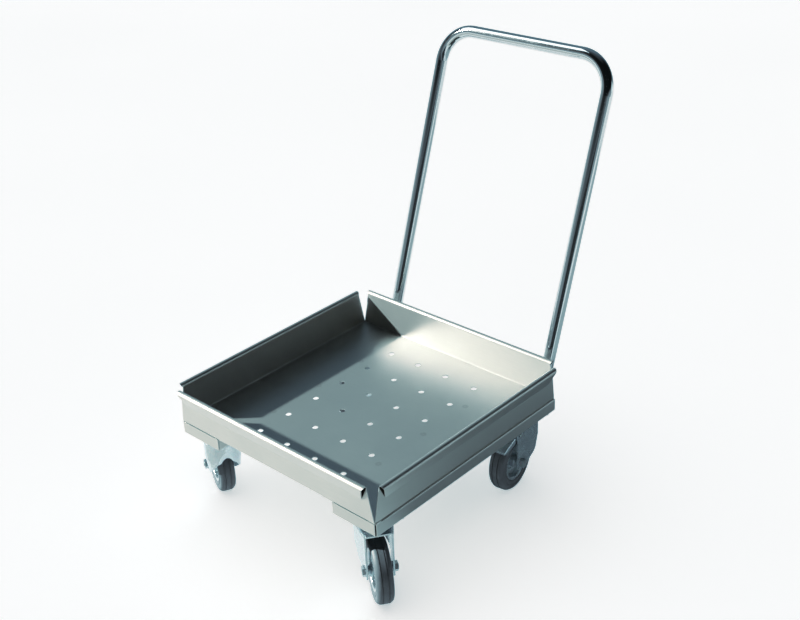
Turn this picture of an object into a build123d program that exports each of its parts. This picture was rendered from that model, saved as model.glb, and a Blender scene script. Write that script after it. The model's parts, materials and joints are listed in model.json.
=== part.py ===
from build123d import *
import os
from math import cos, sin, tan, radians, sqrt, atan2, asin, acos, degrees

os.makedirs("parts", exist_ok=True)

# ---------------------------------------------------------------- dimensions
# Rack trolley: folded sheet tray on two folded channels, push handle of bent
# tube, four swivel castors, foot brakes on the two at the handle end.
# Millimetres. Origin: centre of the tray floor's top face. +Z up, +Y towards
# the handle, +X to the right of somebody who faces the handle.

sheet = 1.5                 # tray and channel sheet
floor_in = 258.0            # half width of the tray between the inner fold lines
floor_bend_in = 2.0         # inside radius of the floor to wall fold
wall_lean = 2.5             # outward lean of the four walls, degrees
wall_rise = 70.8            # height of the straight part of the wall
hem_radius = 6.2            # outside radius of the rolled hem
hem_foot_x = 263.4          # outer lower corner of the hem's turned-down leg
hem_foot_z = 44.0
wall_end = 258.3            # half length of a wall at the floor
wall_taper = 12.0           # each wall end leans in by this much at the hem
hem_cut_out = 0.14          # how fast the hem end is cut back going outwards
hem_cut_down = 0.48         # and going down the hem leg
drain_d = 12.0
drain_pitch = 75.0
drain_cols = 4
drain_rows = 6

chan_in = 155.0             # inner web of the channel, distance from the middle
chan_out = 261.5            # outer web of the channel
chan_bottom = -28.5         # underside of the channel
chan_front = -257.2         # front end of the channel's webs
chan_rear = 259.0           # rear end, open
chan_flange_tip = 129.0     # free edge of the flange that is spot welded to the tray
chan_lip_tip = 240.0        # free edge of the outer flange
chan_bend = 3.0             # outside bend radius
end_plate_face = -259.3     # front face of the folded end plate

tube_d = 25.0
tube_wall = 1.5
handle_x = 207.0            # legs stand over the middle of each channel
handle_y0 = 297.3           # leg axis where it crosses the tray floor's level
handle_tilt = 18.8          # the legs lean back, degrees
handle_top_z = 615.5        # axis of the cross bar
handle_shank_z = -14.45     # axis of the shank inside the channel
handle_shank_end = 62.0     # front end of the shank
handle_foot_bend = 50.0
handle_top_bend = 70.0
handle_bolt_y = (84.0, 132.0)

castor_x = 207.0
castor_front_y = -212.0
castor_rear_y = 217.0
castor_yaw = {              # trailing direction at rest, degrees about +Z from +X
    "front_left": 154.0,
    "front_right": -35.6,
    "rear_left": -104.0,
    "rear_right": -82.0,
}
plate_l = 84.0              # castor top plate, along Y
plate_w = 100.0             # along X, as wide as the channel's flat
plate_t = 3.0
plate_hole_l = 60.0
plate_hole_w = 80.0
plate_hole_d = 9.0
castor_height = 156.5
wheel_r = 62.5
tyre_w = 32.0
trail = 39.5
fork_t = 2.8                # sheet of the pressed fork
fork_end_u = 53.0           # trailing edge of the fork's legs, from the swivel axis
fork_end_w = 26.0           # half width over the legs at that edge
bell_r = 36.0               # round head of the fork over the ball race
bell_low_r = 28.0           # the round draws in towards the lower end of the legs
bell_straight = -80.0       # down to here the head keeps its full radius
fork_foot = -142.0          # below the lowest point of the legs
seat_in = 22.5              # half length of the axle sleeve between the legs
seat_out = 26.6             # flat under the axle's nut and head
race_up_r = 24.0            # upper ball circle
ball_up_r = 4.5
race_low_r = 14.0           # lower ball circle
ball_low_r = 3.0
balls = 12
kingpin_r = 6.0
axle_r = 5.0
sleeve_r = 6.0
hub_r = 14.0                # outside of the wheel's hub tube
rim_r = 35.5                # tyre seat on the pressed discs
disc_t = 1.5
brake_pivot_u = 45.5        # brake pedal pivot, measured from the castor's swivel axis
brake_pivot_z = -53.0
pedal_t = 2.0
pedal_out = 21.3            # half width of the pedal, which swings between the legs
pedal_bend = 4.5            # outside radius between foot plate and cheeks
pedal_u = 53.4              # a point on the pedal's upper face
pedal_z = -55.7
pedal_fall = 0.2535         # slope of the pedal's upper face
pedal_end_u = 96.0

plate_top = chan_bottom
plate_low = plate_top - plate_t
ball_up_z = plate_low - 3.5
crown_top = plate_low - 7.0
crown_low = crown_top - 3.0
ball_low_z = crown_low - 1.9
race_top = ball_low_z - 1.8
race_low = race_top - 3.0
axle_z = plate_top - castor_height + wheel_r
ground = plate_top - castor_height


def fork_section(radius):
    """Corner points of the fork's plan: a round with tangents to the trailing end."""
    far = sqrt(fork_end_u**2 + fork_end_w**2)
    ang = atan2(fork_end_w, fork_end_u) + acos(radius / far)
    touch = Vector(radius * cos(ang), radius * sin(ang))
    along = (Vector(fork_end_u, fork_end_w) - touch).normalized()
    touch_in = Vector((radius - fork_t) * cos(ang), (radius - fork_t) * sin(ang))
    end_in = touch_in + along * ((60.0 - touch_in.X) / along.X)
    return touch, touch_in, end_in


def save(part, name):
    part.label = name
    export_step(part, "parts/" + name + ".step")


# ---------------------------------------------------------------- tray
# One wall is drawn on the right-hand side and repeated on all four sides.
lean = radians(wall_lean)
up = Vector(sin(lean), cos(lean))            # up along the wall
out = Vector(cos(lean), -sin(lean))          # square to the wall, outwards
fold_len = floor_bend_in * tan(radians((90 - wall_lean) / 2))
fold_a = Vector(floor_in - fold_len, 0)
fold_b = Vector(floor_in, 0) + up * fold_len
fold_c = fold_a + Vector(0, floor_bend_in)
hem_a = Vector(floor_in, 0) + up * (wall_rise / cos(lean))
hem_c = hem_a + out * hem_radius
foot = Vector(hem_foot_x, hem_foot_z)
reach = (hem_c - foot).length
foot_dir = atan2(hem_c.Y - foot.Y, hem_c.X - foot.X) - asin(hem_radius / reach)
leg_dir = Vector(cos(foot_dir), sin(foot_dir))
hem_t = foot + leg_dir * sqrt(reach**2 - hem_radius**2)
hem_t_ang = degrees(atan2(hem_t.Y - hem_c.Y, hem_t.X - hem_c.X))
hem_a_ang = 180 - wall_lean
hem_m_ang = (hem_a_ang + hem_t_ang) / 2
hem_i = hem_radius - sheet


def on_hem(radius, ang):
    return (hem_c.X + radius * cos(radians(ang)), hem_c.Y + radius * sin(radians(ang)))


fold_m = fold_c + Vector(sin(radians(45 - wall_lean / 2)), -cos(radians(45 - wall_lean / 2))) * floor_bend_in
fold_m2 = fold_c + Vector(sin(radians(45 - wall_lean / 2)), -cos(radians(45 - wall_lean / 2))) * (floor_bend_in + sheet)
fold_b2 = fold_b + out * sheet
fold_a2 = fold_a - Vector(0, sheet)
hem_a2 = hem_a + out * sheet
foot2 = foot + Vector(-leg_dir.Y, leg_dir.X) * sheet

with BuildPart() as wall:
    with BuildSketch(Plane.XZ):
        with BuildLine():
            Polyline((floor_in - 8, 0), (fold_a.X, fold_a.Y))
            ThreePointArc((fold_a.X, fold_a.Y), (fold_m.X, fold_m.Y), (fold_b.X, fold_b.Y))
            Polyline((fold_b.X, fold_b.Y), (hem_a.X, hem_a.Y), (hem_a2.X, hem_a2.Y), (fold_b2.X, fold_b2.Y))
            ThreePointArc((fold_b2.X, fold_b2.Y), (fold_m2.X, fold_m2.Y), (fold_a2.X, fold_a2.Y))
            Polyline((fold_a2.X, fold_a2.Y), (floor_in - 8, -sheet), (floor_in - 8, 0))
        make_face()
    extrude(amount=wall_end, both=True)
    # the ends lean inwards
    with BuildSketch(Plane.YZ.offset(floor_in - 10)):
        for side in (1, -1):
            with BuildLine():
                Polyline(
                    (side * wall_end, 0),
                    (side * (wall_end - wall_taper * 80 / 72), 80),
                    (side * (wall_end + 10), 80),
                    (side * (wall_end + 10), 0),
                    (side * wall_end, 0),
                )
            make_face()
    extrude(amount=40, mode=Mode.SUBTRACT)

hem_end = wall_end - wall_taper * hem_a.Y / 72
with BuildPart() as hem:
    with BuildSketch(Plane.XZ):
        with BuildLine():
            ThreePointArc(on_hem(hem_radius, hem_a_ang), on_hem(hem_radius, hem_m_ang), on_hem(hem_radius, hem_t_ang))
            Polyline(on_hem(hem_radius, hem_t_ang), (foot.X, foot.Y), (foot2.X, foot2.Y), on_hem(hem_i, hem_t_ang))
            ThreePointArc(on_hem(hem_i, hem_t_ang), on_hem(hem_i, hem_m_ang), on_hem(hem_i, hem_a_ang))
            Polyline(on_hem(hem_i, hem_a_ang), on_hem(hem_radius, hem_a_ang))
        make_face()
    extrude(amount=wall_end, both=True)
    # both ends are cut back on the slant
    for side in (1, -1):
        split(
            bisect_by=Plane(
                origin=(hem_a.X, side * hem_end, hem_a.Y),
                z_dir=(hem_cut_out, side, -hem_cut_down),
            ),
            keep=Keep.BOTTOM,
        )

with BuildPart() as tray:
    with BuildSketch():
        Rectangle(2 * fold_a.X, 2 * fold_a.X)
        with GridLocations(drain_pitch, drain_pitch, drain_cols, drain_rows):
            Circle(drain_d / 2, mode=Mode.SUBTRACT)
    extrude(amount=-sheet)
    with PolarLocations(0, 4):
        add(wall.part)
        add(hem.part)
save(tray.part, "tray")

# ---------------------------------------------------------------- channels
with BuildPart() as right_channel:
    # hat section with its outer flange turned in
    with BuildSketch(Plane.XZ.offset(-chan_rear)):
        with BuildLine():
            FilletPolyline(
                (chan_flange_tip, -2 * sheet),
                (chan_in, -2 * sheet),
                (chan_in, chan_bottom),
                (chan_out, chan_bottom),
                (chan_out, -sheet),
                (chan_lip_tip, -sheet),
                radius=[chan_bend - sheet, chan_bend, chan_bend, chan_bend],
            )
            offset(amount=sheet, side=Side.LEFT)
        make_face()
    extrude(amount=chan_rear - chan_front)
    # the bottom is folded up at the front into an end plate, open at its sides
    with BuildSketch(Plane.YZ.offset(chan_in + chan_bend + 0.2)):
        with BuildLine():
            FilletPolyline(
                (chan_front + 30, chan_bottom + sheet),
                (end_plate_face + sheet, chan_bottom + sheet),
                (end_plate_face + sheet, -2.2),
                radius=chan_bend - sheet,
            )
            offset(amount=sheet, side=Side.LEFT)
        make_face()
    extrude(amount=chan_out - sheet - 2.0 - chan_in - chan_bend - 0.2)
    # beside the fold's corner relief the plate reaches over the end of the inner web
    with BuildSketch(Plane.YZ.offset(chan_in + 0.3)):
        with Locations((end_plate_face + sheet / 2, (chan_bottom + chan_bend - 2.2) / 2)):
            Rectangle(sheet, -2.2 - chan_bottom - chan_bend)
    extrude(amount=chan_bend + 0.5)
    # castor bolt holes and handle bolt holes
    with Locations(
        Plane(origin=(castor_x, castor_rear_y, chan_bottom)),
        Plane(origin=(castor_x, castor_front_y, chan_bottom)),
    ):
        with GridLocations(plate_hole_w, plate_hole_l, 2, 2):
            Cylinder(plate_hole_d / 2, 12, mode=Mode.SUBTRACT)
    with Locations(*[(handle_x, y, chan_bottom) for y in handle_bolt_y]):
        Cylinder(plate_hole_d / 2, 12, mode=Mode.SUBTRACT)
save(right_channel.part, "right_channel")

with BuildPart() as left_channel:
    add(right_channel.part)
    mirror(about=Plane.YZ, mode=Mode.REPLACE)
save(left_channel.part, "left_channel")

# ---------------------------------------------------------------- push handle
lean_back = tan(radians(handle_tilt))
y_foot = handle_y0 + handle_shank_z * lean_back
y_top = handle_y0 + handle_top_z * lean_back
with BuildPart() as push_handle:
    with BuildLine() as handle_path:
        FilletPolyline(
            (handle_x, handle_shank_end, handle_shank_z),
            (handle_x, y_foot, handle_shank_z),
            (handle_x, y_top, handle_top_z),
            (-handle_x, y_top, handle_top_z),
            (-handle_x, y_foot, handle_shank_z),
            (-handle_x, handle_shank_end, handle_shank_z),
            radius=[handle_foot_bend, handle_top_bend, handle_top_bend, handle_foot_bend],
        )
    with BuildSketch(Plane(origin=handle_path.line @ 0, z_dir=handle_path.line % 0)):
        Circle(tube_d / 2)
        Circle(tube_d / 2 - tube_wall, mode=Mode.SUBTRACT)
    sweep(path=handle_path.line)
    # seats of the threaded inserts in the underside of each shank
    with BuildSketch(Plane.XY.offset(handle_shank_z - tube_d / 2 - 1)):
        with Locations(*[(s * handle_x, y) for s in (1, -1) for y in handle_bolt_y]):
            Circle(5.55)
    extrude(amount=8, mode=Mode.SUBTRACT)
save(push_handle.part, "push_handle")

with BuildPart() as handle_inserts:
    with BuildSketch(Plane.XY.offset(handle_shank_z - tube_d / 2 + 0.1)):
        with Locations(*[(s * handle_x, y) for s in (1, -1) for y in handle_bolt_y]):
            Circle(5.5)
            Circle(4.05, mode=Mode.SUBTRACT)
    extrude(amount=13)
save(handle_inserts.part, "handle_inserts")

with BuildPart() as handle_bolts:
    with BuildSketch(Plane.XY.offset(chan_bottom)):
        with Locations(*[(s * handle_x, y) for s in (1, -1) for y in handle_bolt_y]):
            RegularPolygon(6.5, 6, major_radius=False)
    extrude(amount=-5.3)
    chamfer(handle_bolts.edges().group_by(Axis.Z)[0], length=0.6)
    with BuildSketch(Plane.XY.offset(chan_bottom)):
        with Locations(*[(s * handle_x, y) for s in (1, -1) for y in handle_bolt_y]):
            Circle(4.0)
    extrude(amount=16)
save(handle_bolts.part, "handle_bolts")

# ---------------------------------------------------------------- castor fixings
corners = [(sx * castor_x, y) for sx in (1, -1) for y in (castor_rear_y, castor_front_y)]
holes = [
    (cx + dx * plate_hole_w / 2, cy + dy * plate_hole_l / 2)
    for cx, cy in corners
    for dx in (1, -1)
    for dy in (1, -1)
]

with BuildPart() as castor_bolts:
    with BuildSketch(Plane.XY.offset(plate_low)):
        with Locations(*holes):
            RegularPolygon(6.5, 6, major_radius=False)
    extrude(amount=-5.3)
    chamfer(castor_bolts.edges().group_by(Axis.Z)[0], length=0.6)
    with BuildSketch(Plane.XY.offset(plate_low)):
        with Locations(*holes):
            Circle(4.0)
    extrude(amount=16)
save(castor_bolts.part, "castor_bolts")

with BuildPart() as castor_nuts:
    with BuildSketch(Plane.XY.offset(chan_bottom + sheet)):
        with Locations(*holes):
            RegularPolygon(6.5, 6, major_radius=False)
            Circle(4.05, mode=Mode.SUBTRACT)
    extrude(amount=6.8)
save(castor_nuts.part, "castor_nuts")

with BuildPart() as castor_kingpins:
    with BuildSketch(Plane.XY.offset(plate_top - 0.1)):
        with Locations(*corners):
            Circle(kingpin_r)
    extrude(amount=race_low - plate_top + 0.1)
    with BuildSketch(Plane.XY.offset(race_low)):
        with Locations(*corners):
            Circle(10.0)
    extrude(amount=-3.0)
    fillet(castor_kingpins.edges().group_by(Axis.Z)[0], radius=1.6)
save(castor_kingpins.part, "castor_kingpins")

# ---------------------------------------------------------------- castors
for name, (sx, sy) in {
    "front_left": (-1, -1),
    "front_right": (1, -1),
    "rear_left": (-1, 1),
    "rear_right": (1, 1),
}.items():
    cx, cy = sx * castor_x, castor_rear_y if sy > 0 else castor_front_y
    yaw = radians(castor_yaw[name])
    du = Vector(cos(yaw), sin(yaw), 0)          # trailing direction
    dw = Vector(-sin(yaw), cos(yaw), 0)         # along the axle
    flat = Plane(origin=(cx, cy, 0), x_dir=du, z_dir=(0, 0, 1))
    square = Plane(origin=(cx, cy, 0))
    side = Plane(origin=(cx, cy, 0), x_dir=du, z_dir=dw * -1)
    swivel = Axis((cx, cy, 0), (0, 0, 1))
    hub = Vector(cx, cy, axle_z) + du * trail
    spin = Axis(hub, dw)
    across = Plane(origin=hub, x_dir=dw, z_dir=dw.cross(Vector(0, 0, 1)))
    radial = Plane(origin=(cx, cy, 0), x_dir=du, z_dir=dw * -1)

    # top plate with the upper ball track pressed into its underside
    with BuildPart() as top_plate:
        with BuildSketch(square.offset(plate_top)):
            RectangleRounded(plate_w, plate_l, 7)
            with GridLocations(plate_hole_w, plate_hole_l, 2, 2):
                Circle(plate_hole_d / 2, mode=Mode.SUBTRACT)
            Circle(kingpin_r + 0.02, mode=Mode.SUBTRACT)
        extrude(amount=-plate_t)
        with BuildSketch(radial):
            with Locations((race_up_r, ball_up_z)):
                Circle(ball_up_r + 0.1)
        revolve(axis=swivel, mode=Mode.SUBTRACT)
    save(top_plate.part, name + "_top_plate")

    # two rings of balls
    with BuildPart() as swivel_balls:
        with Locations(flat.offset(ball_up_z)):
            with PolarLocations(race_up_r, balls):
                Sphere(ball_up_r)
        with Locations(flat.offset(ball_low_z)):
            with PolarLocations(race_low_r, balls):
                Sphere(ball_low_r)
    save(swivel_balls.part, name + "_swivel_balls")

    # lower ball track, held by the kingpin's riveted head
    with BuildPart() as lower_race:
        with BuildSketch(flat.offset(race_top)):
            Circle(19.0)
            Circle(kingpin_r + 0.05, mode=Mode.SUBTRACT)
        extrude(amount=-(race_top - race_low))
        with BuildSketch(radial):
            with Locations((race_low_r, ball_low_z)):
                Circle(ball_low_r + 0.1)
        revolve(axis=swivel, mode=Mode.SUBTRACT)
    save(lower_race.part, name + "_lower_race")

    # fork: round head over the balls, running out into two legs
    head, head_in, head_end = fork_section(bell_r)
    toe, toe_in, toe_end = fork_section(bell_low_r)
    with BuildPart() as fork:
        # outside: straight round head, then drawn in towards the foot
        with BuildSketch(flat.offset(crown_top)):
            with BuildLine():
                Polyline((head.X, -head.Y), (fork_end_u, -fork_end_w), (fork_end_u, fork_end_w), (head.X, head.Y))
                ThreePointArc((head.X, head.Y), (-bell_r, 0), (head.X, -head.Y))
            make_face()
        extrude(amount=bell_straight - crown_top)
        fillet(
            fork.edges().group_by(Axis.Z)[-1].filter_by(lambda e: abs((e @ 0.5 - hub).dot(du) - fork_end_u + trail) > 1),
            radius=4.0,
        )
        with BuildSketch(flat.offset(bell_straight)):
            with BuildLine():
                Polyline((head.X, -head.Y), (fork_end_u, -fork_end_w), (fork_end_u, fork_end_w), (head.X, head.Y))
                ThreePointArc((head.X, head.Y), (-bell_r, 0), (head.X, -head.Y))
            make_face()
        with BuildSketch(flat.offset(fork_foot)):
            with BuildLine():
                Polyline((toe.X, -toe.Y), (fork_end_u, -fork_end_w), (fork_end_u, fork_end_w), (toe.X, toe.Y))
                ThreePointArc((toe.X, toe.Y), (-bell_low_r, 0), (toe.X, -toe.Y))
            make_face()
        loft(ruled=True)
        # hollow, open below and at the trailing end
        with BuildSketch(flat.offset(crown_low)):
            with BuildLine():
                Polyline((head_in.X, -head_in.Y), (head_end.X, -head_end.Y), (head_end.X, head_end.Y), (head_in.X, head_in.Y))
                ThreePointArc((head_in.X, head_in.Y), (fork_t - bell_r, 0), (head_in.X, -head_in.Y))
            make_face()
        extrude(amount=bell_straight - crown_low, mode=Mode.SUBTRACT)
        with BuildSketch(flat.offset(bell_straight)):
            with BuildLine():
                Polyline((head_in.X, -head_in.Y), (head_end.X, -head_end.Y), (head_end.X, head_end.Y), (head_in.X, head_in.Y))
                ThreePointArc((head_in.X, head_in.Y), (fork_t - bell_r, 0), (head_in.X, -head_in.Y))
            make_face()
        with BuildSketch(flat.offset(fork_foot)):
            with BuildLine():
                Polyline((toe_in.X, -toe_in.Y), (toe_end.X, -toe_end.Y), (toe_end.X, toe_end.Y), (toe_in.X, toe_in.Y))
                ThreePointArc((toe_in.X, toe_in.Y), (fork_t - bell_low_r, 0), (toe_in.X, -toe_in.Y))
            make_face()
        loft(ruled=True, mode=Mode.SUBTRACT)
        # side outline of the legs and of the arch over the wheel
        with BuildSketch(side):
            with BuildLine():
                FilletPolyline(
                    (60, crown_top + 5),
                    (60, axle_z - 3),
                    (49, axle_z - 14.5),
                    (26, axle_z - 14.5),
                    (-17, -104),
                    (-31, -83),
                    (-37.5, -50),
                    (-45, -48),
                    (-45, crown_top + 5),
                    radius=[6.0, 11.0, 12.0, 14.0, 14.0, 1.5, 1.0],
                )
                Line((-45, crown_top + 5), (60, crown_top + 5))
            make_face()
        extrude(amount=60, both=True, mode=Mode.INTERSECT)
        # seats of the axle: dimples pressed inwards, flats outside
        for s in (1, -1):
            with BuildSketch(Plane(origin=hub + dw * (s * seat_in), x_dir=du, z_dir=dw * s)):
                Circle(10.0)
            extrude(amount=3.2)
            with BuildSketch(Plane(origin=hub + dw * (s * seat_out), x_dir=du, z_dir=dw * s)):
                Circle(12.0)
            extrude(amount=6.0, mode=Mode.SUBTRACT)
        # kingpin hole, ball tracks and axle holes
        with BuildSketch(flat.offset(crown_top + 1)):
            Circle(9.5)
        extrude(amount=-8, mode=Mode.SUBTRACT)
        with BuildSketch(radial):
            with Locations((race_up_r, ball_up_z)):
                Circle(ball_up_r + 0.35)
            with Locations((race_low_r, ball_low_z)):
                Circle(ball_low_r + 0.35)
        revolve(axis=swivel, mode=Mode.SUBTRACT)
        with BuildSketch(side):
            with Locations((trail, axle_z)):
                Circle(axle_r + 0.05)
            if sy > 0:
                with Locations((brake_pivot_u, brake_pivot_z)):
                    Circle(3.02)
        extrude(amount=40, both=True, mode=Mode.SUBTRACT)
    save(fork.part, name + "_fork")

    # axle: bolt, nut and the sleeve that keeps the legs apart
    with BuildPart() as axle_bolt:
        with BuildSketch(Plane(origin=hub - dw * seat_out, x_dir=du, z_dir=dw * -1)):
            RegularPolygon(8.5, 6, major_radius=False)
        extrude(amount=5.4)
        with BuildSketch(Plane(origin=hub - dw * seat_out, x_dir=du, z_dir=dw)):
            Circle(axle_r)
        extrude(amount=2 * seat_out + 8.2)
        chamfer(axle_bolt.edges().filter_by(GeomType.CIRCLE).sort_by(Axis(hub, dw))[-1], length=0.8)
    save(axle_bolt.part, name + "_axle_bolt")

    with BuildPart() as axle_nut:
        with BuildSketch(Plane(origin=hub + dw * seat_out, x_dir=du, z_dir=dw)):
            RegularPolygon(8.5, 6, major_radius=False)
            Circle(axle_r + 0.05, mode=Mode.SUBTRACT)
        extrude(amount=6.8)
    save(axle_nut.part, name + "_axle_nut")

    with BuildPart() as axle_sleeve:
        with BuildSketch(Plane(origin=hub - dw * seat_in, x_dir=du, z_dir=dw)):
            Circle(sleeve_r)
            Circle(axle_r + 0.05, mode=Mode.SUBTRACT)
        extrude(amount=2 * seat_in)
    save(axle_sleeve.part, name + "_axle_sleeve")

    # wheel: hub tube, two pressed discs and a rubber tyre
    with BuildPart() as wheel_hub:
        with BuildSketch(across):
            with BuildLine():
                Polyline(
                    (-22, sleeve_r + 0.05),
                    (22, sleeve_r + 0.05),
                    (22, 9.0),
                    (19, 9.0),
                    (16, hub_r - 1),
                    (15, hub_r),
                    (-15, hub_r),
                    (-16, hub_r - 1),
                    (-19, 9.0),
                    (-22, 9.0),
                    (-22, sleeve_r + 0.05),
                )
            make_face()
        revolve(axis=spin)
    save(wheel_hub.part, name + "_wheel_hub")

    for half, s in (("outer_disc", 1), ("inner_disc", -1)):
        with BuildPart() as disc:
            with BuildSketch(across):
                with BuildLine():
                    FilletPolyline(
                        (s * 0.05, hub_r + 0.04),
                        (s * 0.05, 19.0),
                        (s * 3.6, 21.6),
                        (s * 3.6, 27.8),
                        (s * 0.05, 30.4),
                        (s * 0.05, rim_r),
                        (s * 13.4, rim_r),
                        (s * 13.4, rim_r + 4.2),
                        radius=[1.8, 1.8, 1.8, 1.8, 3.0, 1.4],
                    )
                    offset(amount=disc_t, side=Side.RIGHT if s > 0 else Side.LEFT)
                make_face()
            revolve(axis=spin)
        save(disc.part, name + "_" + half)

    with BuildPart() as tyre:
        with BuildSketch(across) as tyre_section:
            with BuildLine():
                Polyline(
                    (-11.6, rim_r + 0.05),
                    (11.6, rim_r + 0.05),
                    (13.3, rim_r + 1.75),
                    (13.3, rim_r + 4.4),
                    (15.4, rim_r + 5.6),
                    (tyre_w / 2, 44.0),
                    (tyre_w / 2, 47.0),
                    (tyre_w / 2 - 0.8, 47.6),
                    (tyre_w / 2 - 0.8, 50.4),
                    (tyre_w / 2, 51.0),
                    (tyre_w / 2, 53.5),
                )
                Spline(
                    (tyre_w / 2, 53.5),
                    (tyre_w / 2 - 1.4, 58.4),
                    (tyre_w / 2 - 5.0, 61.2),
                    (0, wheel_r),
                    tangents=[(0, 1), (-1, 0)],
                )
                Spline(
                    (0, wheel_r),
                    (-tyre_w / 2 + 5.0, 61.2),
                    (-tyre_w / 2 + 1.4, 58.4),
                    (-tyre_w / 2, 53.5),
                    tangents=[(-1, 0), (0, -1)],
                )
                Polyline(
                    (-tyre_w / 2, 53.5),
                    (-tyre_w / 2, 51.0),
                    (-tyre_w / 2 + 0.8, 50.4),
                    (-tyre_w / 2 + 0.8, 47.6),
                    (-tyre_w / 2, 47.0),
                    (-tyre_w / 2, 44.0),
                    (-15.4, rim_r + 5.6),
                    (-13.3, rim_r + 4.4),
                    (-13.3, rim_r + 1.75),
                    (-11.6, rim_r + 0.05),
                )
            make_face()
            # tread grooves
            with Locations((-5.6, 62.2), (5.6, 62.2)):
                Rectangle(2.2, 3.2, mode=Mode.SUBTRACT)
        revolve(axis=spin)
    save(tyre.part, name + "_tyre")

    # foot brake on the castors at the handle end: a pressed pedal over the tyre
    if sy > 0:
        with BuildPart() as brake_pedal:
            with BuildSketch(side):
                with BuildLine():
                    Polyline(
                        (40.0, pedal_z - pedal_fall * (40.0 - pedal_u)),
                        (pedal_end_u, pedal_z - pedal_fall * (pedal_end_u - pedal_u)),
                        (pedal_end_u + 2.0, pedal_z - pedal_fall * (pedal_end_u - pedal_u) - 2.0),
                        (pedal_end_u + 1.0, pedal_z - pedal_fall * (pedal_end_u - pedal_u) - 6.5),
                        (pedal_end_u - 6.0, pedal_z - pedal_fall * (pedal_end_u - pedal_u) - 9.5),
                        (58.0, -70.0),
                        (42.0, -61.0),
                        (40.0, pedal_z - pedal_fall * (40.0 - pedal_u)),
                    )
                make_face()
            extrude(amount=pedal_out, both=True)
            fillet(
                brake_pedal.edges().filter_by(
                    lambda e: abs((e % 0.5).dot(dw)) < 0.1 and e.length > 20 and (e @ 0.5).Z > pedal_z - 8.0
                ),
                radius=pedal_bend,
            )
            # ears round the pivot
            with BuildSketch(side):
                with Locations((brake_pivot_u, brake_pivot_z)):
                    Circle(7.5)
            extrude(amount=pedal_out, both=True)
            # hollow between the cheeks, under the foot plate
            with BuildSketch(side):
                with BuildLine():
                    Polyline(
                        (20, -35),
                        (51, -35),
                        (51, pedal_z - pedal_fall * (51 - pedal_u) - 2.06),
                        (pedal_end_u - 0.5, pedal_z - pedal_fall * (pedal_end_u - 0.5 - pedal_u) - 2.06),
                        (pedal_end_u - 0.5, -100),
                        (20, -100),
                        (20, -35),
                    )
                make_face()
            extrude(amount=pedal_out - pedal_t, both=True, mode=Mode.SUBTRACT)
            with BuildSketch(side):
                with Locations((brake_pivot_u, brake_pivot_z)):
                    Circle(3.06)
            extrude(amount=40, both=True, mode=Mode.SUBTRACT)
        save(brake_pedal.part, name + "_brake_pedal")

        with BuildPart() as brake_rivets:
            for s in (1, -1):
                seat = Vector(cx, cy, brake_pivot_z) + du * brake_pivot_u
                with BuildSketch(Plane(origin=seat + dw * (s * 18.0), x_dir=du, z_dir=dw * s)):
                    Circle(3.0)
                extrude(amount=11.0)
                with BuildSketch(Plane(origin=seat + dw * (s * 28.7), x_dir=du, z_dir=dw * s)):
                    Circle(5.0)
                extrude(amount=2.0)
            fillet(brake_rivets.edges().filter_by(GeomType.CIRCLE).sort_by(lambda e: -abs((e @ 0 - hub).dot(dw)))[:2], radius=1.2)
        save(brake_rivets.part, name + "_brake_rivets")
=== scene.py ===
import json
import math

import bmesh
import bpy
from mathutils import Matrix, Vector


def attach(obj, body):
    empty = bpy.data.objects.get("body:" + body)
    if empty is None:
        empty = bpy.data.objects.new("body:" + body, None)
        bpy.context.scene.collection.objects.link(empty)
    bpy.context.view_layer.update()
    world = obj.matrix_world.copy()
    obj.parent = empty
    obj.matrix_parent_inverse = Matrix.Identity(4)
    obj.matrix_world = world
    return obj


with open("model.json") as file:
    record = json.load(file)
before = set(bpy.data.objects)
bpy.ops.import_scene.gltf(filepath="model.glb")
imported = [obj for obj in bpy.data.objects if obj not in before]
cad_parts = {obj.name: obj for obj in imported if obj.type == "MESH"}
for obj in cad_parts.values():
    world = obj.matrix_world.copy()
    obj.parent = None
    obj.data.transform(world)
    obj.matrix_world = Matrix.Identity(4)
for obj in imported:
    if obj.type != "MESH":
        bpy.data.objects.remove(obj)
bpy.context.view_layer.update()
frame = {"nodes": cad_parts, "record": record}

nodes = frame["nodes"]
scene = bpy.context.scene
GROUND = -0.185


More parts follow.
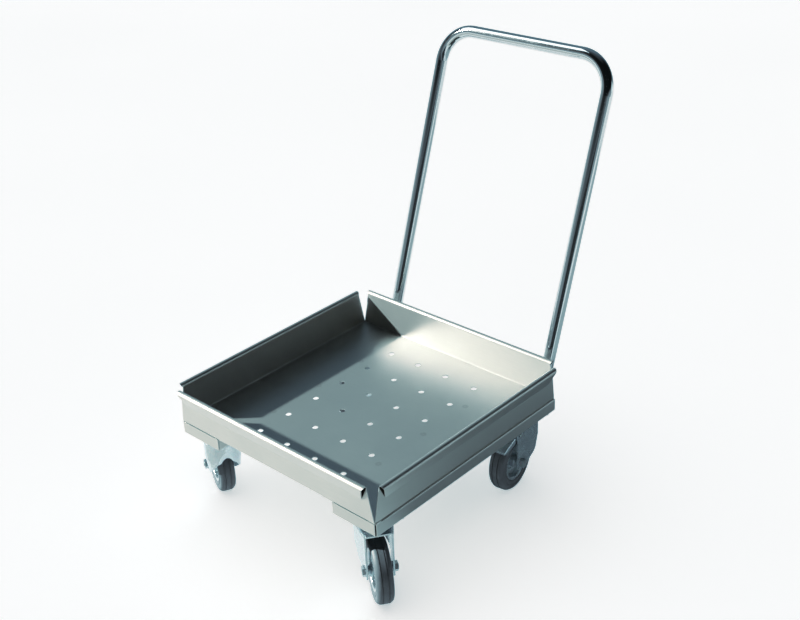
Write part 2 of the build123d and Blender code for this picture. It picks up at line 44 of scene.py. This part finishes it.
# ------------------------------------------------------------------ node helpers
class Graph:
    """A material's node tree, with short calls for the nodes used here."""

    def __init__(self, name):
        old = bpy.data.materials.get(name)
        if old:
            old.name = name + "_plain"
        self.mat = bpy.data.materials.new(name)
        self.mat.use_nodes = True
        self.tree = self.mat.node_tree
        self.tree.nodes.clear()
        self.out = self.tree.nodes.new("ShaderNodeOutputMaterial")
        self.bsdf = self.tree.nodes.new("ShaderNodeBsdfPrincipled")
        self.tree.links.new(self.bsdf.outputs["BSDF"], self.out.inputs["Surface"])
        self.coord = self.tree.nodes.new("ShaderNodeTexCoord").outputs["Object"]

    def put(self, socket, value):
        if isinstance(value, bpy.types.NodeSocket):
            self.tree.links.new(value, socket)
        elif value is not None:
            socket.default_value = value

    def set(self, **values):
        for key, value in values.items():
            self.put(self.bsdf.inputs[key.replace("_", " ")], value)

    def scaled(self, scale, vector=None, rotate=(0, 0, 0)):
        n = self.tree.nodes.new("ShaderNodeMapping")
        self.put(n.inputs["Vector"], vector or self.coord)
        n.inputs["Scale"].default_value = scale
        n.inputs["Rotation"].default_value = rotate
        return n.outputs["Vector"]

    def noise(self, scale, detail=4.0, rough=0.55, vector=None, distort=0.0):
        n = self.tree.nodes.new("ShaderNodeTexNoise")
        self.put(n.inputs["Vector"], vector or self.coord)
        n.inputs["Scale"].default_value = scale
        n.inputs["Detail"].default_value = detail
        n.inputs["Roughness"].default_value = rough
        n.inputs["Distortion"].default_value = distort
        return n.outputs["Fac"]

    def cells(self, scale, vector=None, output="Distance", rand=1.0):
        n = self.tree.nodes.new("ShaderNodeTexVoronoi")
        self.put(n.inputs["Vector"], vector or self.coord)
        n.inputs["Scale"].default_value = scale
        n.inputs["Randomness"].default_value = rand
        return n.outputs[output]

    def ramp(self, fac, *stops, smooth=False):
        """stops are (position, colour or grey)."""
        n = self.tree.nodes.new("ShaderNodeValToRGB")
        n.color_ramp.interpolation = "EASE" if smooth else "LINEAR"
        while len(n.color_ramp.elements) < len(stops):
            n.color_ramp.elements.new(0.5)
        for e, (pos, col) in zip(n.color_ramp.elements, stops):
            e.position = pos
            e.color = (col, col, col, 1) if not hasattr(col, "__len__") else (*col[:3], 1)
        self.put(n.inputs["Fac"], fac)
        return n.outputs["Color"]

    def math(self, op, a, b=None, c=None, clamp=False):
        n = self.tree.nodes.new("ShaderNodeMath")
        n.operation = op
        n.use_clamp = clamp
        for i, v in enumerate((a, b, c)):
            if v is not None:
                self.put(n.inputs[i], v)
        return n.outputs["Value"]

    def span(self, value, lo, hi, to_lo=0.0, to_hi=1.0):
        n = self.tree.nodes.new("ShaderNodeMapRange")
        n.clamp = True
        self.put(n.inputs["Value"], value)
        n.inputs["From Min"].default_value = lo
        n.inputs["From Max"].default_value = hi
        n.inputs["To Min"].default_value = to_lo
        n.inputs["To Max"].default_value = to_hi
        return n.outputs["Result"]

    def mix(self, fac, a, b, mode="MIX"):
        n = self.tree.nodes.new("ShaderNodeMix")
        n.data_type = "RGBA"
        n.blend_type = mode
        for key, v in (("Factor", fac), ("A", a), ("B", b)):
            want = "RGBA" if key != "Factor" else "VALUE"
            sock = [s for s in n.inputs if s.name == key and s.type == want][0]
            if hasattr(v, "__len__") and not isinstance(v, bpy.types.NodeSocket):
                v = (*v[:3], 1)
            self.put(sock, v)
        return [s for s in n.outputs if s.type == "RGBA"][0]

    def split(self, vector=None):
        n = self.tree.nodes.new("ShaderNodeSeparateXYZ")
        self.put(n.inputs[0], vector or self.coord)
        return n.outputs["X"], n.outputs["Y"], n.outputs["Z"]

    def normal(self):
        return self.tree.nodes.new("ShaderNodeNewGeometry").outputs["Normal"]

    def vector(self, x, y, z):
        n = self.tree.nodes.new("ShaderNodeCombineXYZ")
        for i, v in enumerate((x, y, z)):
            n.inputs[i].default_value = v
        return n.outputs["Vector"]

    def bump(self, height, strength, distance, normal=None):
        n = self.tree.nodes.new("ShaderNodeBump")
        n.inputs["Strength"].default_value = strength
        n.inputs["Distance"].default_value = distance
        self.put(n.inputs["Height"], height)
        if normal is not None:
            self.put(n.inputs["Normal"], normal)
        return n.outputs["Normal"]

    def edges(self, radius, lo=0.55, hi=0.97):
        """1 on convex and concave edges, 0 on flats."""
        b = self.tree.nodes.new("ShaderNodeBevel")
        b.samples = 4
        b.inputs["Radius"].default_value = radius
        g = self.tree.nodes.new("ShaderNodeNewGeometry")
        d = self.tree.nodes.new("ShaderNodeVectorMath")
        d.operation = "DOT_PRODUCT"
        self.put(d.inputs[0], b.outputs["Normal"])
        self.put(d.inputs[1], g.outputs["Normal"])
        return self.span(d.outputs["Value"], hi, lo)


# ------------------------------------------------------------------ materials
def sheet_steel(name, grain, across, tone, rough, tray_welds_and_hem_shade=False):
    """Cold rolled stainless sheet: a semi-mirror with a fine rolled grain, wipe marks and spot welds.
    The rolled grain spreads reflections along the direction across it. With tray_welds_and_hem_shade it also
    paints shade inside the rolled hems."""
    g = Graph(name)
    fine = g.noise(1.0, 3.0, 0.6, g.scaled(grain))
    coarse = g.noise(9.0, 5.0, 0.6, distort=0.4)
    cloud = g.noise(3.1, 3.0, 0.5, distort=0.8)
    pits = g.noise(900.0, 2.0, 0.5)
    base = g.mix(g.span(coarse, 0.30, 0.72), [c * 0.955 for c in tone], [c * 1.03 for c in tone])
    base = g.mix(g.span(fine, 0.35, 0.65, 0.0, 0.30), base, [c * 0.90 for c in tone])
    r = g.math("ADD", g.span(cloud, 0.3, 0.7, rough - 0.02, rough + 0.02), g.span(fine, 0.3, 0.7, -0.012, 0.014))
    x, y, z = g.split()
    nx, ny, nz = g.split(g.normal())
    # the channel sides and the left wall's inner face are a little smoother
    smooth = g.span(nx, 0.6, 0.8) if tray_welds_and_hem_shade else g.span(g.math("ABSOLUTE", nx), 0.6, 0.8)
    if tray_welds_and_hem_shade:
        smooth = g.math("MULTIPLY", smooth, g.math("LESS_THAN", x, 0.0))
    r = g.math("SUBTRACT", r, g.math("MULTIPLY", smooth, 0.095))
    if tray_welds_and_hem_shade:
        dx = g.math("SUBTRACT", g.math("ABSOLUTE", x), 0.142)
        dy = g.math("SUBTRACT", y, g.math("MULTIPLY", g.math("ROUND", g.math("DIVIDE", y, 0.125)), 0.125))
        d = g.math("SQRT", g.math("ADD", g.math("MULTIPLY", dx, dx), g.math("MULTIPLY", dy, dy)))
        d = g.math("ADD", d, g.span(g.noise(260.0, 2.0), 0.3, 0.7, -0.0009, 0.0009))
        inside = g.math("LESS_THAN", g.math("ABSOLUTE", y), 0.19)
        ring = g.math("MULTIPLY", g.ramp(d, (0.0, 0.35), (0.0026, 0.45), (0.0036, 0.95), (0.0044, 0.40), (0.0062, 0.0)), inside)
        base = g.mix(g.math("MULTIPLY", ring, 0.42), base, (0.20, 0.19, 0.175))
        r = g.math("ADD", r, g.math("MULTIPLY", ring, 0.05))
    # lighter along convex and concave edges: partly rubbed wear, partly a painted highlight along the sheet
    # edges
    edge_wear_and_highlight = g.edges(0.0009)
    base = g.mix(g.math("MULTIPLY", edge_wear_and_highlight, 0.35), base, [min(1, c * 1.15) for c in tone])
    if tray_welds_and_hem_shade:
        # painted shade: inside the rolled hems the sheet is painted near black and made dull, standing in for
        # the shade in the hollows
        dz = g.math("SUBTRACT", z, 0.07053)
        end = g.math("ADD", g.math("MULTIPLY", z, 0.48), 0.2465 - 0.48 * 0.0708)
        hem_hollow_shade = 0.0
        for u, w, n in ((x, y, nx), (y, x, ny)):
            out = g.math("ABSOLUTE", u)
            du = g.math("SUBTRACT", out, 0.26728)
            turned = g.math("MULTIPLY", n, g.math("SIGN", u))
            facing = g.math("ADD", g.math("MULTIPLY", du, turned), g.math("MULTIPLY", dz, nz))
            part = g.math("MULTIPLY", g.math("LESS_THAN", facing, -0.002), g.math("GREATER_THAN", z, 0.0455))
            part = g.math("MULTIPLY", part, g.math("GREATER_THAN", out, 0.2585))
            part = g.math("MULTIPLY", part, g.math("LESS_THAN", g.math("ABSOLUTE", w), end))
            hem_hollow_shade = g.math("MAXIMUM", part, hem_hollow_shade)
        # painted shade: near black colour and higher roughness inside the hem hollows
        base = g.mix(hem_hollow_shade, base, (0.012, 0.012, 0.011))
        r = g.math("ADD", r, g.math("MULTIPLY", hem_hollow_shade, 0.35))
    g.set(Base_Color=base, Metallic=0.97, Roughness=r, Anisotropic=0.62, Tangent=g.vector(*across))
    # the flats between the grain lines mirror more sharply than the grain
    g.set(Coat_Weight=1.0, Coat_Roughness=0.31, Coat_IOR=1.95)
    n = g.bump(fine, 0.04, 0.00005)
    n = g.bump(pits, 0.08, 0.00004, n)
    n = g.bump(cloud, 0.06, 0.0016, n)
    g.set(Normal=n)
    return g.mat


def polished_tube(name):
    g = Graph(name)
    smear = g.noise(7.0, 4.0, 0.6, g.scaled((1.0, 1.0, 0.35)))
    fine = g.noise(520.0, 2.0, 0.5)
    spots = g.ramp(g.noise(70.0, 6.0, 0.62), (0.60, 0.0), (0.72, 1.0))
    base = g.mix(g.span(smear, 0.35, 0.7), (0.60, 0.64, 0.65), (0.68, 0.71, 0.715))
    base = g.mix(g.math("MULTIPLY", spots, 0.25), base, (0.40, 0.41, 0.41))
    r = g.math("ADD", g.span(smear, 0.3, 0.75, 0.06, 0.13), g.math("MULTIPLY", spots, 0.10))
    g.set(Base_Color=base, Metallic=1.0, Roughness=r)
    g.set(Normal=g.bump(fine, 0.05, 0.00005, g.bump(smear, 0.05, 0.0006)))
    return g.mat


def zinc(name, tone, rough, dull=0.0):
    """Bright zinc plating on pressed steel, a little blue, dull where it has been rubbed."""
    g = Graph(name)
    flake = g.cells(340.0, output="Color")
    patch = g.noise(38.0, 5.0, 0.6, distort=0.6)
    fine = g.noise(700.0, 3.0, 0.6)
    base = g.mix(g.span(patch, 0.32, 0.7), [c * 0.90 for c in tone], [min(1, c * 1.06) for c in tone])
    base = g.mix(0.07, base, flake, "OVERLAY")
    # lighter along convex and concave edges: partly rubbed wear, partly a painted highlight along the pressed
    # edges
    edge_wear_and_highlight = g.edges(0.0008)
    base = g.mix(g.math("MULTIPLY", edge_wear_and_highlight, 0.40), base, (0.80, 0.82, 0.83))
    r = g.math("ADD", g.span(patch, 0.3, 0.75, rough - 0.05, rough + 0.07), g.span(fine, 0.3, 0.7, -0.03, 0.03))
    g.set(Base_Color=base, Metallic=0.85 - dull, Roughness=r)
    g.set(Normal=g.bump(fine, 0.12, 0.00008, g.bump(patch, 0.14, 0.0007)))
    return g.mat


def rubber(name):
    g = Graph(name)
    grit = g.noise(1500.0, 3.0, 0.6)
    wear = g.noise(42.0, 6.0, 0.65, distort=0.5)
    dust = g.noise(150.0, 4.0, 0.6)
    base = g.mix(g.span(wear, 0.3, 0.72), (0.066, 0.076, 0.083), (0.106, 0.119, 0.128))
    base = g.mix(g.span(dust, 0.58, 0.74, 0.0, 0.35), base, (0.20, 0.21, 0.21))
    # lighter along edges: partly scuffed wear, partly a painted highlight along the tread and sidewall edges
    base = g.mix(g.math("MULTIPLY", g.edges(0.0011), 0.45), base, (0.18, 0.20, 0.21))
    g.set(Base_Color=base, Metallic=0.0, Roughness=g.span(wear, 0.3, 0.75, 0.50, 0.68))
    g.set(Specular_IOR_Level=0.42)
    g.set(Normal=g.bump(grit, 0.25, 0.00012, g.bump(dust, 0.15, 0.0003)))
    return g.mat


STEEL = (0.625, 0.635, 0.605)
finishes = {
    "tray_steel": sheet_steel("tray_sheet", (30.0, 620.0, 620.0), (0.0, 1.0, 0.0), STEEL, 0.52, tray_welds_and_hem_shade=True),
    "channel_steel": sheet_steel("channel_sheet", (620.0, 30.0, 620.0), (0.0, 0.2, 1.0), [c * 0.97 for c in STEEL], 0.50),
    "handle_tube": polished_tube("polished_tube"),
    "castor_zinc": zinc("bright_zinc", (0.66, 0.745, 0.78), 0.24),
    "wheel_steel": zinc("rim_zinc", (0.62, 0.69, 0.715), 0.28),
    "fastener_steel": zinc("fastener_zinc", (0.58, 0.635, 0.655), 0.30),
    "ball_steel": zinc("ball_steel_greased", (0.50, 0.50, 0.48), 0.16),
    "tyre_rubber": rubber("grey_rubber"),
}
slot_of = {s["node"]: s["material_slot"] for s in frame["record"]["subparts"]}
for name, obj in nodes.items():
    obj.data.materials.clear()
    obj.data.materials.append(finishes[slot_of[name]])


# ------------------------------------------------------------------ pieces the CAD leaves out
def tack_weld(name, side):
    """A dressed tack weld, 14 mm long, that closes the groove between tray and channel at the front corner."""
    section = [(258.3, -1.45), (259.45, 1.3), (260.35, 0.3), (261.0, -1.1), (261.45, -2.7), (261.6, -4.3), (260.4, -3.4)]
    middle = (259.9, -1.4)
    bm = bmesh.new()
    rings = []
    steps = 36
    for i in range(steps + 1):
        t = i / steps
        y = -257.6 + 14.2 * t
        swell = min(1.0, math.sqrt(max(0.0, t * 9.0)), math.sqrt(max(0.0, (1.0 - t) * 5.0)))
        swell = (0.35 + 0.65 * swell) * (1.0 + 0.035 * math.sin(y * 3.9))
        ring = []
        for px, pz in section:
            px = middle[0] + (px - middle[0]) * swell
            pz = middle[1] + (pz - middle[1]) * swell
            ring.append(bm.verts.new((side * px / 1000, y / 1000, pz / 1000)))
        rings.append(ring)
    count = len(section)
    for a, b in zip(rings, rings[1:]):
        for k in range(count):
            bm.faces.new((a[k], a[(k + 1) % count], b[(k + 1) % count], b[k]))
    bm.faces.new(rings[0])
    bm.faces.new(list(reversed(rings[-1])))
    bmesh.ops.recalc_face_normals(bm, faces=bm.faces)
    for face in bm.faces:
        face.smooth = len(face.verts) == 4
    me = bpy.data.meshes.new(name)
    bm.to_mesh(me)
    bm.free()
    me.materials.append(finishes["channel_steel"])
    obj = bpy.data.objects.new(name, me)
    scene.collection.objects.link(obj)
    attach(obj, "chassis")
    return obj


extras = [tack_weld("right_tack_weld", 1), tack_weld("left_tack_weld", -1)]


# ------------------------------------------------------------------ stage, light and camera
def pale_floor():
    me = bpy.data.meshes.new("pale_floor")
    bm = bmesh.new()
    bmesh.ops.create_grid(bm, x_segments=8, y_segments=8, size=9.0)
    bm.to_mesh(me)
    bm.free()
    obj = bpy.data.objects.new("pale_floor", me)
    scene.collection.objects.link(obj)
    obj.location = (0.0, 0.0, GROUND)
    g = Graph("pale_floor")
    base = g.mix(g.noise(0.7, 3.0, 0.5), (0.82, 0.825, 0.825), (0.86, 0.862, 0.86))
    # a light table: the floor's own glow keeps the shadows on it pale
    g.set(Base_Color=base, Roughness=0.85, Specular_IOR_Level=0.0, Emission_Color=base, Emission_Strength=0.62)
    me.materials.append(g.mat)
    return obj


floor = pale_floor()

world = bpy.data.worlds.new("studio")
scene.world = world
world.use_nodes = True
wt = world.node_tree
wt.nodes.clear()
w_out = wt.nodes.new("ShaderNodeOutputWorld")
w_bg = wt.nodes.new("ShaderNodeBackground")
wt.links.new(w_bg.outputs["Background"], w_out.inputs["Surface"])
w_dir = wt.nodes.new("ShaderNodeTexCoord").outputs["Generated"]
w_sum = None


def soft_area(direction, start, full, colour):
    """A soft patch of studio light on the backdrop, around one direction."""
    global w_sum
    dot = wt.nodes.new("ShaderNodeVectorMath")
    dot.operation = "DOT_PRODUCT"
    wt.links.new(w_dir, dot.inputs[0])
    dot.inputs[1].default_value = Vector(direction).normalized()
    grow = wt.nodes.new("ShaderNodeMapRange")
    grow.interpolation_type = "SMOOTHSTEP"
    wt.links.new(dot.outputs["Value"], grow.inputs["Value"])
    grow.inputs["From Min"].default_value = start
    grow.inputs["From Max"].default_value = full
    add = wt.nodes.new("ShaderNodeMixRGB")
    add.blend_type = "ADD"
    wt.links.new(grow.outputs["Result"], add.inputs["Fac"])
    if w_sum is None:
        add.inputs["Color1"].default_value = (0.005, 0.006, 0.007, 1)
    else:
        wt.links.new(w_sum, add.inputs["Color1"])
    add.inputs["Color2"].default_value = (*colour, 1)
    w_sum = add.outputs["Color"]


soft_area((-0.62, 0.60, 0.45), 0.50, 0.97, (0.128, 0.170, 0.200))
soft_area((-0.25, 0.15, 0.95), 0.80, 0.99, (0.05, 0.055, 0.06))
soft_area((0.0, 0.0, 1.0), 0.30, 0.06, (0.30, 0.32, 0.33))
soft_area((0.78, 0.62, 0.04), 0.965, 0.995, (1.00, 1.02, 1.04))
wt.links.new(w_sum, w_bg.inputs["Color"])
w_bg.inputs["Strength"].default_value = 1.0


def aim(obj, direction):
    obj.rotation_mode = "QUATERNION"
    obj.rotation_quaternion = Vector(direction).to_track_quat("-Z", "Y")


def lamp(name, energy, angle, colour, direction, lit):
    """A distant lamp that lights only the objects in lit."""
    obj = bpy.data.objects.new(name, bpy.data.lights.new(name, "SUN"))
    scene.collection.objects.link(obj)
    obj.data.energy = energy
    obj.data.angle = math.radians(angle)
    obj.data.color = colour
    aim(obj, direction)
    group = bpy.data.collections.new(name + "_lights")
    for o in lit:
        group.objects.link(o)
    obj.light_linking.receiver_collection = group
    return obj


# the key stands front left of the object; the floor has a soft lamp of its own
KEY = (0.705, 0.552, -0.446)
CASTOR = ("castor_zinc", "wheel_steel")
RUBBER = ("tyre_rubber",)
lamp("key", 2.75, 2.0, (1.0, 0.985, 0.95), KEY, [o for n, o in nodes.items() if slot_of[n] not in CASTOR + RUBBER] + extras)
lamp("castor_key", 5.0, 2.0, (1.0, 0.985, 0.95), KEY, [o for n, o in nodes.items() if slot_of[n] in CASTOR])
lamp("tyre_key", 11.5, 2.0, (1.0, 0.985, 0.95), KEY, [o for n, o in nodes.items() if slot_of[n] in RUBBER])
lamp("floor_lamp", 1.5, 100.0, (1.0, 1.0, 1.0), (0.25, 0.20, -1.0), [floor])


def flag(name, corner, size, grey, outline=None):
    """A card beside the object that only reflections see."""
    me = bpy.data.meshes.new(name)
    bm = bmesh.new()
    if outline:
        bm.faces.new([bm.verts.new((x, y, 0.0)) for x, y in outline])
    else:
        bmesh.ops.create_grid(bm, x_segments=2, y_segments=2, size=0.5)
    bm.to_mesh(me)
    bm.free()
    obj = bpy.data.objects.new(name, me)
    scene.collection.objects.link(obj)
    obj.location = corner
    obj.scale = (*size, 1)
    g = Graph(name)
    g.set(Base_Color=(0.02, 0.02, 0.02, 1), Roughness=1.0, Emission_Color=(*grey, 1), Emission_Strength=1.0)
    me.materials.append(g.mat)
    obj.visible_camera = obj.visible_diffuse = obj.visible_shadow = False
    obj.visible_transmission = obj.visible_volume_scatter = False
    return obj


flag("flag_right", (1.30, 0.75, GROUND + 0.001), (2.06, 2.1), (0.45, 0.49, 0.50))
# the key's shadow of the tray, as the right side mirrors it
flag("flag_shadow", (0.0, 0.0, GROUND + 0.002), (1.0, 1.0), (0.066, 0.078, 0.083),
     ((-0.0135, -0.065), (0.51, -0.065), (0.683, 0.05), (0.683, 0.594), (0.139, 0.594), (-0.0135, 0.454)))
flag("flag_front", (-0.75, -1.25, GROUND + 0.001), (2.6, 1.9), (0.68, 0.66, 0.62))

# a dark card upright at the front right gives the handle's legs their dark middle
aim(flag("flag_dark", (1.65, -2.49, 0.40), (3.6, 1.3), (0.014, 0.016, 0.017)), (-0.55, 0.83, 0.0))

# an overhead card that shows as a white band along the handle's cross bar, and lights nothing else
card = flag("handle_card", (-1.52, -0.05, 2.50), (1.5, 1.3), (1.75, 1.78, 1.80))
aim(card, (0.61, 0.20, -0.76))
card_lights = bpy.data.collections.new("handle_card_lights")
card_lights.objects.link(nodes["push_handle"])
card.light_linking.receiver_collection = card_lights

cam = bpy.data.objects.new("camera", bpy.data.cameras.new("camera"))
scene.collection.objects.link(cam)
right = Vector((0.73968, 0.67166, -0.04170))
up = Vector((-0.28839, 0.37236, 0.88215))
ahead = Vector((-0.60803, 0.64048, -0.46913))
cam.matrix_world = Matrix((
    (right.x, up.x, -ahead.x, 1.463155),
    (right.y, up.y, -ahead.y, -1.439819),
    (right.z, up.z, -ahead.z, 1.307635),
    (0, 0, 0, 1),
))
cam.data.sensor_fit = "HORIZONTAL"
cam.data.sensor_width = 36.0
cam.data.lens = 1229.0 / 800.0 * 36.0
cam.data.clip_end = 100.0
cam.data.dof.use_dof = False
scene.camera = cam
scene.view_settings.view_transform = "Standard"
# a cool grade: red a little lower and blue a little higher in the middle tones, black and white as they are
scene.view_settings.use_curve_mapping = True
grade = scene.view_settings.curve_mapping
for tone, red, blue in ((0.016, 0.0145, 0.017), (0.069, 0.058, 0.077), (0.138, 0.108, 0.153),
                        (0.283, 0.212, 0.305), (0.48, 0.41, 0.50), (0.79, 0.785, 0.79)):
    grade.curves[0].points.new(tone, red)
    grade.curves[2].points.new(tone, blue)
grade.update()
